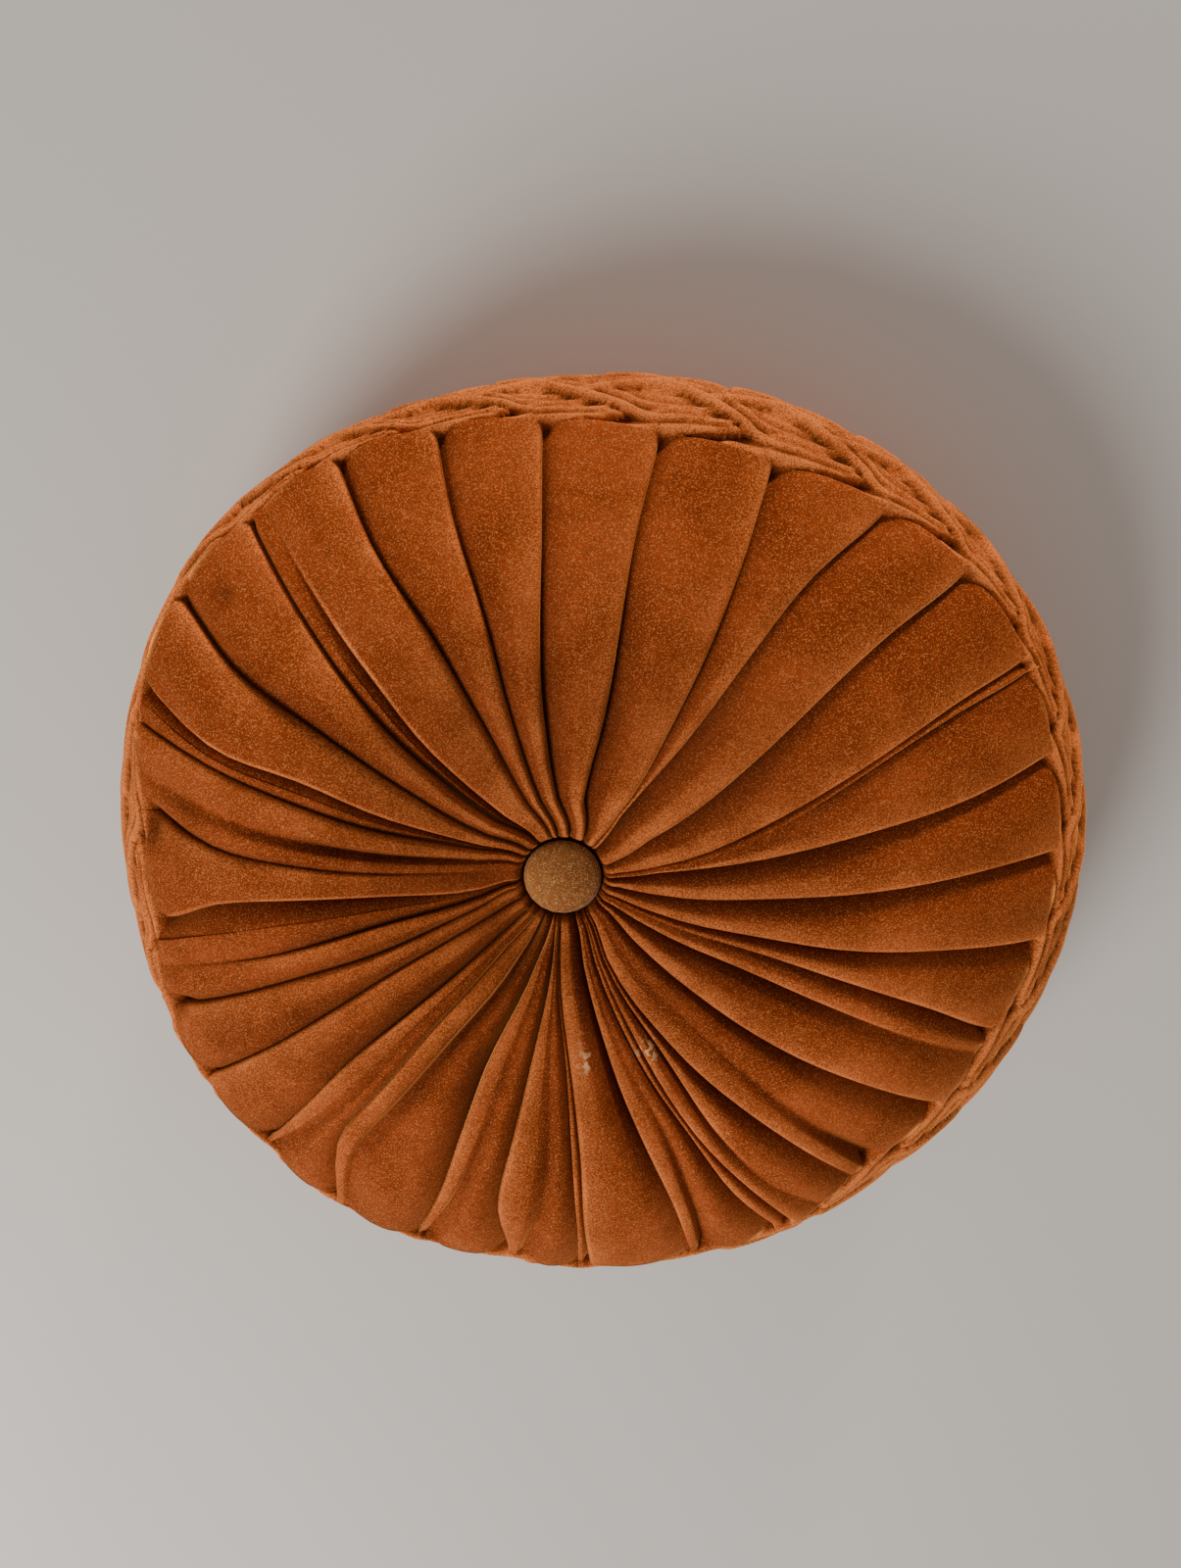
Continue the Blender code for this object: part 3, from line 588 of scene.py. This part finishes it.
def around_mean(turn, away, reach):
    """Mean height of the plait in all directions round a place, some millimetres off."""
    total = np.zeros_like(turn)
    for direction in DIRECTIONS:
        beside = turn + reach * math.sin(direction) / LEAF_PITCH
        total += leaves(beside, away + reach * math.cos(direction))
    return total / len(DIRECTIONS)


def plait(turn, away):
    """Height, painted highlight and painted shade of the plait: highlight on raised places, shade in
    hollows.
    """
    if away > LEAVES_REACH:
        return np.full_like(turn, PLAIT_FLOOR), np.zeros_like(turn), np.zeros_like(turn)
    away = away + STRAY_AWAY * np.sin(STRAY_AWAY_WAVES * turn + STRAY_AWAY_SHIFT)
    turn = turn + STRAY_TURN * np.sin(STRAY_TURN_WAVES * turn)
    height = OWN_SHARE * leaves(turn, away) + NEAR_SHARE * around_mean(turn, away, NEAR)
    # Painted highlight on raised places and painted shade in hollows
    raised = height - around_mean(turn, away, WIDE)
    return height, smooth(raised / LIGHT_OVER), smooth(-raised / DARK_OVER)


def side_profile(across, rim, girth):
    """Distance from the middle at a share of the way from the front rim to the back rim."""
    return rim + (girth - rim) * np.sin(math.pi * across ** GIRTH_BIAS) ** SIDE_FULLNESS


CLOTH_STEPS = np.linspace(0.0, 1.0, 401)
CLOTH_WAY = np.concatenate(((0.0,), np.cumsum(np.hypot(
    np.diff(side_profile(CLOTH_STEPS, NOMINAL_RIM, NOMINAL_GIRTH)),
    np.diff(CLOTH_STEPS) * (FRONT_RIM_HEIGHT - BACK_RIM_HEIGHT))))) * 1000.0
CLOTH_LENGTH = CLOTH_WAY[-1]


def place_ring(angle, reach, height, rise, tilt):
    """Places on a face, moved off its plain crown by their rise, straight up or tilted outwards."""
    even = float(smooth((reach - BUTTON_REACH) / EVEN_HUB))
    away = reach * (NOMINAL_RIM + (rim_reach(angle) - NOMINAL_RIM) * even)
    drawn = ((1.0 - reach) / (1.0 - BUTTON_REACH)) ** DRAWN_BEND
    x = FACE_X + (BUTTON_X - FACE_X) * drawn + away * np.sin(angle)
    y = FACE_Y + (BUTTON_Y - FACE_Y) * drawn + away * np.cos(angle)
    out = np.arctan2(x, y)
    x = x + rise * math.sin(tilt) * np.sin(out)
    y = y + rise * math.sin(tilt) * np.cos(out)
    return np.stack((x, y, height + rise * math.cos(tilt)), axis=1)


def neck_share(reach):
    """How far the cloth has come up, on a quarter round, out of the hollow under a button."""
    share = (reach - BUTTON_REACH) / (NECK_TOP_REACH - BUTTON_REACH)
    return math.sin(0.5 * math.pi * min(max(share, 0.0), 1.0))


def rim_tilt(reach):
    """How far the cloth of a face rises outwards and not straight up, all of it by the rim."""
    return RIM_TILT * float(smooth((reach - RIM_TILT_REACH) / RIM_TILT_OVER))


def with_shades(ring, dark, light):
    """A ring of places with the painted shade and the painted highlight of each."""
    return np.concatenate((ring, dark[:, None], light[:, None]), axis=1)


def front_ring(reach):
    """A ring of the front face."""
    angle, rise, dark, light = fold_ring(reach)
    neck = neck_share(reach)
    low = FRONT_BUTTON_TOP - BUTTON_THICKNESS - TOUCH_GAP
    high = FRONT_RIM_HEIGHT + FRONT_CROWN * crown(reach)
    ring = place_ring(angle, reach, low + (high - low) * neck, rise * neck, rim_tilt(reach))
    # Painted shade deepens and painted highlight fades in the hollow under the button
    return with_shades(ring, 1.0 - (1.0 - dark) * math.sqrt(neck), light * neck)


def back_ring(reach):
    """A ring of the back face, its folds lower and flat where it lies on the floor."""
    angle, rise, dark, light = fold_ring(reach)
    tilt = math.pi - rim_tilt(reach)
    neck = neck_share(reach)
    high = BACK_BUTTON_TOP + BUTTON_THICKNESS + TOUCH_GAP
    low = BACK_RIM_HEIGHT - BACK_CROWN * crown(reach)
    ring = place_ring(angle, reach, high + (low - high) * neck, BACK_FOLD_SHARE * rise * neck, tilt)
    ring[:, 2] = np.maximum(ring[:, 2], 0.0)
    # Painted shade deepens and painted highlight fades in the hollow under the button
    return with_shades(ring, 1.0 - (1.0 - dark) * math.sqrt(neck), light * neck)


def side_ring(way):
    """A ring of the side, on a bulging arc between the rims, some way of cloth from the front rim."""
    across = float(np.interp(way, CLOTH_WAY, CLOTH_STEPS))
    folded, rise, dark, light = fold_ring(1.0)
    creases = np.radians(CREASE_ANGLES[:, 0])
    after = np.append(creases[1:], creases[0] + 2.0 * math.pi)
    even = creases[COLUMN_FOLD] + (after - creases)[COLUMN_FOLD] * COLUMN_STEP
    edge = min(way, CLOTH_LENGTH - way)
    blend = float(smooth(edge / RIM_BLEND))
    angle = folded + (even - folded) * float(smooth((edge - RIM_BLEND) / EVEN_BLEND))
    x = FACE_X + rim_reach(angle) * np.sin(angle)
    y = FACE_Y + rim_reach(angle) * np.cos(angle)
    around = np.arctan2(x, y)
    girths = np.array(GIRTHS)
    girth = np.interp(np.degrees(around), girths[:, 0], girths[:, 1] / 1000.0, period=360.0)
    radius = side_profile(across, np.hypot(x, y), girth)
    turn = corner_turn(angle)
    leaf, leaf_light, leaf_dark = plait(turn, way)
    mirrored = plait(turn - BACK_SHIFT, CLOTH_LENGTH - way)
    from_back = mirrored[0] > leaf
    leaf = np.where(from_back, mirrored[0], leaf)
    leaf_light = np.where(from_back, mirrored[1], leaf_light)
    leaf_dark = np.where(from_back, mirrored[2], leaf_dark)
    # Painted shade in the corner pits and the plait's hollows, painted highlight over the side and its
    # raised leaves
    pit = corner_pit(angle, -way)
    rise = rise + (leaf / 1000.0 - PIT_DEPTH * pit - rise) * blend
    dark = dark + (np.maximum(leaf_dark, pit) - dark) * blend
    light = light + ((SIDE_GLOW + leaf_light) * (1.0 - pit) - light) * blend
    tilt = RIM_TILT + (SIDE_TILT - RIM_TILT) * float(smooth(edge / SIDE_TILT_OVER))
    if across > 0.5:
        tilt = math.pi - tilt
    height = FRONT_RIM_HEIGHT + (BACK_RIM_HEIGHT - FRONT_RIM_HEIGHT) * across
    radius = radius + rise * math.sin(tilt)
    ring = np.stack(
        (radius * np.sin(around), radius * np.cos(around), height + rise * math.cos(tilt)), axis=1)
    return with_shades(ring, dark, light)


# The rings of the mesh, as stops with the number of even steps that lead to each: reaches on the two
# faces, and millimetres of cloth on the side, whose first and last rings are those of the rims
Stop = namedtuple("Stop", "at steps")
FRONT_STOPS = (
    Stop(BUTTON_REACH, 0), Stop(NECK_TOP_REACH, 3), Stop(0.2, 5), Stop(0.88, 13), Stop(1.0, 7))
SIDE_STOPS = (Stop(0.0, 0), Stop(14.0, 17), Stop(40.0, 24), Stop(CLOTH_LENGTH, 12))
BACK_STOPS = (
    Stop(1.0, 0), Stop(0.88, 2), Stop(0.2, 5), Stop(0.15, 1), Stop(NECK_TOP_REACH, 1),
    Stop(BUTTON_REACH, 1))
MERGE_DISTANCE = 0.000001


def spaced(stops):
    """All the steps on the way through a row of stops."""
    steps = [stops[0].at]
    for start, end in zip(stops, stops[1:]):
        steps.extend(np.linspace(start.at, end.at, end.steps + 1)[1:])
    return steps


rings = [front_ring(reach) for reach in spaced(FRONT_STOPS)]
rings += [side_ring(way) for way in spaced(SIDE_STOPS)[1:-1]]
rings += [back_ring(reach) for reach in spaced(BACK_STOPS)]
places = np.array(rings)
ring_count, column_count = places.shape[:2]

shape = bmesh.new()
bmesh.ops.create_grid(shape, x_segments=column_count, y_segments=ring_count + 1, size=1.0)
# Painted shade and painted highlight of every place, kept on the mesh for the velvet's colour
painted_shade_layer = shape.verts.layers.float.new("crease")
painted_highlight_layer = shape.verts.layers.float.new("painted_highlight")
for vert in shape.verts:
    column = round(0.5 * (vert.co.x + 1.0) * column_count) % column_count
    row = round(0.5 * (vert.co.y + 1.0) * (ring_count + 1)) - 1
    place = places[min(max(row, 0), ring_count - 1), column]
    vert[painted_shade_layer] = place[3]
    vert[painted_highlight_layer] = place[4]
    if 0 <= row < ring_count:
        vert.co = place[:3]
    else:
        vert.co = (BUTTON_X, BUTTON_Y, place[2])
bmesh.ops.remove_doubles(shape, verts=shape.verts, dist=MERGE_DISTANCE)
bmesh.ops.recalc_face_normals(shape, faces=shape.faces)
cushion_mesh = bpy.data.meshes.new("velvet_cushion")
shape.to_mesh(cushion_mesh)
shape.free()
cushion_mesh.shade_smooth()
cushion = bpy.data.objects.new("velvet_cushion", cushion_mesh)
bpy.context.scene.collection.objects.link(cushion)

# Velvet: a short pile, pale specks on a deep ground, brushed paler in patches, with painted highlight
# along lips and ridges and painted shade in creases and hollows mixed into its colour. Scales are in
# turns of a noise for each metre of cloth, a range is the part of a noise that is used, and the amounts
# are what that part is spread over, 0 to 1 where none are given.
DEEP_RUST = (0.186, 0.025, 0.0010, 1.0)
BRUSHED_RUST = (0.290, 0.050, 0.009, 1.0)
# Colours of the painted shade in creases and hollows and of the painted highlight along lips and ridges
PAINTED_SHADE_RUST = (0.020, 0.0022, 0.0002, 1.0)
PAINTED_HIGHLIGHT_RUST = (0.76, 0.215, 0.056, 1.0)
SPECK_RUST = (0.70, 0.27, 0.085, 1.0)
SHEEN_RUST = (1.0, 0.38, 0.10, 1.0)
# How strongly the painted highlight and the painted shade are mixed into the velvet
PAINTED_HIGHLIGHT_AMOUNT = 0.95
PAINTED_SHADE_AMOUNT = 0.85
GRAIN_SCALE = 1650.0
GRAIN_HEIGHT = 0.00014
SPECK_RANGE = (0.50, 0.70)
SPECK_AMOUNT = 0.52
TIP_RANGE = (0.36, 0.64)
TIP_AMOUNTS = (0.30, 1.80)
TUFT_SCALE = 300.0
TUFT_RANGE = (0.30, 0.70)
TUFT_AMOUNTS = (0.84, 1.16)
PATCH_SCALE = 17.0
PATCH_RANGE = (0.36, 0.66)
BRUSHING_SCALE = 48.0
BRUSHING_RANGE = (0.32, 0.68)
BRUSHING_AMOUNTS = (0.35, 1.0)


def add_node(tree, kind, **settings):
    """A new node with its settings."""
    node = tree.nodes.new(kind)
    for key, value in settings.items():
        setattr(node, key, value)
    return node


def feed(tree, socket, value):
    """Feed a socket from another one, or set it to a number or a colour."""
    if isinstance(value, bpy.types.NodeSocket):
        tree.links.new(value, socket)
    else:
        socket.default_value = value


def noise(tree, coords, scale, detail, **inputs):
    """The strength of a noise on the piece's own coordinates."""
    node = add_node(tree, "ShaderNodeTexNoise")
    feed(tree, node.inputs["Vector"], coords.outputs["Object"])
    feed(tree, node.inputs["Scale"], scale)
    feed(tree, node.inputs["Detail"], detail)
    for key, value in inputs.items():
        feed(tree, node.inputs[key], value)
    return node.outputs["Fac"]


def spread(tree, value, limits, amounts=(0.0, 1.0), kind="LINEAR"):
    """A value spread from its limits over other amounts."""
    node = add_node(tree, "ShaderNodeMapRange", interpolation_type=kind)
    feed(tree, node.inputs["Value"], value)
    feed(tree, node.inputs["From Min"], limits[0])
    feed(tree, node.inputs["From Max"], limits[1])
    feed(tree, node.inputs["To Min"], amounts[0])
    feed(tree, node.inputs["To Max"], amounts[1])
    return node.outputs["Result"]


def work_out(tree, operation, first, second, clamped=False):
    """The result of a math operation on two values."""
    node = add_node(tree, "ShaderNodeMath", operation=operation, use_clamp=clamped)
    feed(tree, node.inputs[0], first)
    feed(tree, node.inputs[1], second)
    return node.outputs["Value"]


def mix(tree, factor, first, second):
    """The first colour blended into the second by a factor."""
    node = add_node(tree, "ShaderNodeMix", data_type="RGBA")
    feed(tree, node.inputs["Factor"], factor)
    feed(tree, node.inputs["A"], first)
    feed(tree, node.inputs["B"], second)
    return node.outputs["Result"]


def bumped(tree, height):
    """The normal of a surface raised by heights in metres."""
    node = add_node(tree, "ShaderNodeBump")
    feed(tree, node.inputs["Distance"], 1.0)
    feed(tree, node.inputs["Height"], height)
    return node.outputs["Normal"]


pile = bpy.data.node_groups.new("velvet_pile", "ShaderNodeTree")
for socket_name in ("Ground", "Brushed", "Speck"):
    pile.interface.new_socket(socket_name, in_out="INPUT", socket_type="NodeSocketColor")
pile.interface.new_socket("Base Color", in_out="OUTPUT", socket_type="NodeSocketColor")
pile.interface.new_socket("Highlight Brushing", in_out="OUTPUT", socket_type="NodeSocketFloat")
pile.interface.new_socket("Bump Height", in_out="OUTPUT", socket_type="NodeSocketFloat")
given = add_node(pile, "NodeGroupInput")
result = add_node(pile, "NodeGroupOutput")
coords = add_node(pile, "ShaderNodeTexCoord")
patch = noise(pile, coords, PATCH_SCALE, 5.0, Roughness=0.6, Distortion=0.6)
patch = spread(pile, patch, PATCH_RANGE, kind="SMOOTHSTEP")
brushing = spread(pile, noise(pile, coords, BRUSHING_SCALE, 2.0), BRUSHING_RANGE, BRUSHING_AMOUNTS)
grain = noise(pile, coords, GRAIN_SCALE, 1.0)
speck = spread(pile, grain, SPECK_RANGE, (0.0, SPECK_AMOUNT), kind="SMOOTHSTEP")
tips = spread(pile, grain, TIP_RANGE, TIP_AMOUNTS)
tuft = spread(pile, noise(pile, coords, TUFT_SCALE, 3.0), TUFT_RANGE, TUFT_AMOUNTS)
cloth = mix(pile, patch, given.outputs["Ground"], given.outputs["Brushed"])
tufted = add_node(pile, "ShaderNodeVectorMath", operation="SCALE")
feed(pile, tufted.inputs[0], cloth)
feed(pile, tufted.inputs["Scale"], tuft)
cloth = mix(pile, speck, tufted.outputs["Vector"], given.outputs["Speck"])
feed(pile, result.inputs["Base Color"], cloth)
# How strongly the painted highlight shows: in brushed patches and on the pile's tips
feed(pile, result.inputs["Highlight Brushing"], work_out(pile, "MULTIPLY", brushing, tips))
feed(pile, result.inputs["Bump Height"], work_out(pile, "MULTIPLY", grain, GRAIN_HEIGHT))

# Old pale flecks on the lower face, small spots scattered round three places
FLECK_PALE = (0.60, 0.40, 0.20, 1.0)
FLECK_SCALE = 330.0
FLECK_RANGE = (0.51, 0.60)
Fleck = namedtuple("Fleck", "x y reach")
FLECKS = (
    Fleck(0.0144, -0.0683, 0.0095),
    Fleck(-0.0104, -0.0716, 0.0075),
    Fleck(-0.0111, -0.0621, 0.0065),
)
FACE_HEIGHT = 0.106
flecks = bpy.data.node_groups.new("pale_flecks", "ShaderNodeTree")
flecks.interface.new_socket("Mask", in_out="OUTPUT", socket_type="NodeSocketFloat")
fleck_result = add_node(flecks, "NodeGroupOutput")
fleck_coords = add_node(flecks, "ShaderNodeTexCoord")
spots = noise(flecks, fleck_coords, FLECK_SCALE, 2.0)
spots = spread(flecks, spots, FLECK_RANGE, kind="SMOOTHSTEP")
nearest = 0.0
for fleck in FLECKS:
    distance = add_node(flecks, "ShaderNodeVectorMath", operation="DISTANCE")
    feed(flecks, distance.inputs[0], fleck_coords.outputs["Object"])
    feed(flecks, distance.inputs[1], (fleck.x, fleck.y, FACE_HEIGHT))
    near = spread(flecks, distance.outputs["Value"], (fleck.reach, 0.0), kind="SMOOTHSTEP")
    nearest = work_out(flecks, "MAXIMUM", nearest, near)
feed(flecks, fleck_result.inputs["Mask"], work_out(flecks, "MULTIPLY", spots, nearest))

velvet = bpy.data.materials.new("rust_velvet")
velvet.use_nodes = True
velvet_tree = velvet.node_tree
velvet_shader = velvet_tree.nodes["Principled BSDF"]
velvet_shader.inputs["Roughness"].default_value = 0.9
velvet_shader.inputs["Specular IOR Level"].default_value = 0.09
velvet_shader.inputs["Sheen Weight"].default_value = 0.8
velvet_shader.inputs["Sheen Roughness"].default_value = 0.32
velvet_shader.inputs["Sheen Tint"].default_value = SHEEN_RUST
velvet_pile = add_node(velvet_tree, "ShaderNodeGroup", node_tree=pile)
velvet_pile.inputs["Ground"].default_value = DEEP_RUST
velvet_pile.inputs["Brushed"].default_value = BRUSHED_RUST
velvet_pile.inputs["Speck"].default_value = SPECK_RUST
# Painted highlight along lips, ridges and the side, patchy with the brushing of the pile
painted_highlight = add_node(velvet_tree, "ShaderNodeAttribute", attribute_name="painted_highlight").outputs["Fac"]
painted_highlight = work_out(velvet_tree, "MULTIPLY", painted_highlight, velvet_pile.outputs["Highlight Brushing"])
painted_highlight = work_out(velvet_tree, "MULTIPLY", painted_highlight, PAINTED_HIGHLIGHT_AMOUNT, clamped=True)
# Painted shade in creases, hollows, dents and towards the button
crease = add_node(velvet_tree, "ShaderNodeAttribute", attribute_name="crease").outputs["Fac"]
crease = work_out(velvet_tree, "MULTIPLY", crease, PAINTED_SHADE_AMOUNT, clamped=True)
fleck_mask = add_node(velvet_tree, "ShaderNodeGroup", node_tree=flecks).outputs["Mask"]
colour = mix(velvet_tree, painted_highlight, velvet_pile.outputs["Base Color"], PAINTED_HIGHLIGHT_RUST)
colour = mix(velvet_tree, crease, colour, PAINTED_SHADE_RUST)
colour = mix(velvet_tree, fleck_mask, colour, FLECK_PALE)
feed(velvet_tree, velvet_shader.inputs["Base Color"], colour)
feed(velvet_tree, velvet_shader.inputs["Normal"], bumped(velvet_tree, velvet_pile.outputs["Bump Height"]))
cushion_mesh.materials.append(velvet)
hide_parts("cushion")
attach(cushion, "root")


# The buttons: flat domes covered in a finer and more ochre cloth than the cushion's velvet, one in
# the middle of each face. Made as spheres drawn out into a dome over a short side.
BUTTON_RADIUS = 0.0160
BUTTON_BASE_RADIUS = 0.0145
BUTTON_EDGE_SHARE = 0.35
BUTTON_FLAT = 0.6
GATHERS = 19.0
GATHER_HEIGHT = 0.00022
GATHER_BEND = 12
OCHRE_GROUND = (0.185, 0.054, 0.008, 1.0)
OCHRE_BRUSHED = (0.270, 0.092, 0.017, 1.0)
OCHRE_SPECK = (0.74, 0.40, 0.14, 1.0)

button_cloth = bpy.data.materials.new("button_cloth")
button_cloth.use_nodes = True
cloth_tree = button_cloth.node_tree
cloth_shader = cloth_tree.nodes["Principled BSDF"]
cloth_shader.inputs["Roughness"].default_value = 0.85
cloth_shader.inputs["Specular IOR Level"].default_value = 0.2
cloth_shader.inputs["Sheen Weight"].default_value = 0.25
cloth_shader.inputs["Sheen Roughness"].default_value = 0.4
cloth_pile = add_node(cloth_tree, "ShaderNodeGroup", node_tree=pile)
cloth_pile.inputs["Ground"].default_value = OCHRE_GROUND
cloth_pile.inputs["Brushed"].default_value = OCHRE_BRUSHED
cloth_pile.inputs["Speck"].default_value = OCHRE_SPECK
feed(cloth_tree, cloth_shader.inputs["Base Color"], cloth_pile.outputs["Base Color"])
feed(cloth_tree, cloth_shader.inputs["Normal"], bumped(cloth_tree, cloth_pile.outputs["Bump Height"]))


def button_place(x, y, up):
    """A place on a button, from the matching place on a sphere of radius 1."""
    angle = math.atan2(y, x)
    across = math.hypot(x, y)
    edge = BUTTON_EDGE_SHARE * BUTTON_THICKNESS
    if up >= 0.0:
        gather = GATHER_HEIGHT * math.sin(GATHERS * angle) * across ** GATHER_BEND
        return angle, BUTTON_RADIUS * across, edge + (BUTTON_THICKNESS - edge) * up + gather
    lower = min(-up / BUTTON_FLAT, 1.0)
    away = BUTTON_RADIUS + (BUTTON_BASE_RADIUS - BUTTON_RADIUS) * lower
    if -up > BUTTON_FLAT:
        away = BUTTON_BASE_RADIUS * across / math.sqrt(1.0 - BUTTON_FLAT ** 2)
    return angle, away, edge * (1.0 - lower)


for name, base, side in (
        ("button_front", FRONT_BUTTON_TOP - BUTTON_THICKNESS, 1.0),
        ("button_back", BACK_BUTTON_TOP + BUTTON_THICKNESS, -1.0)):
    dome = bmesh.new()
    bmesh.ops.create_uvsphere(dome, u_segments=64, v_segments=40, radius=1.0)
    for vert in dome.verts:
        angle, away, height = button_place(*vert.co)
        x = BUTTON_X + away * math.cos(angle)
        y = BUTTON_Y + away * math.sin(angle)
        vert.co = (x, y, base + side * height)
    bmesh.ops.recalc_face_normals(dome, faces=dome.faces)
    button_mesh = bpy.data.meshes.new("covered_" + name)
    dome.to_mesh(button_mesh)
    dome.free()
    button_mesh.shade_smooth()
    button_mesh.materials.append(button_cloth)
    button = bpy.data.objects.new("covered_" + name, button_mesh)
    bpy.context.scene.collection.objects.link(button)
    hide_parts(name)
    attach(button, "root")
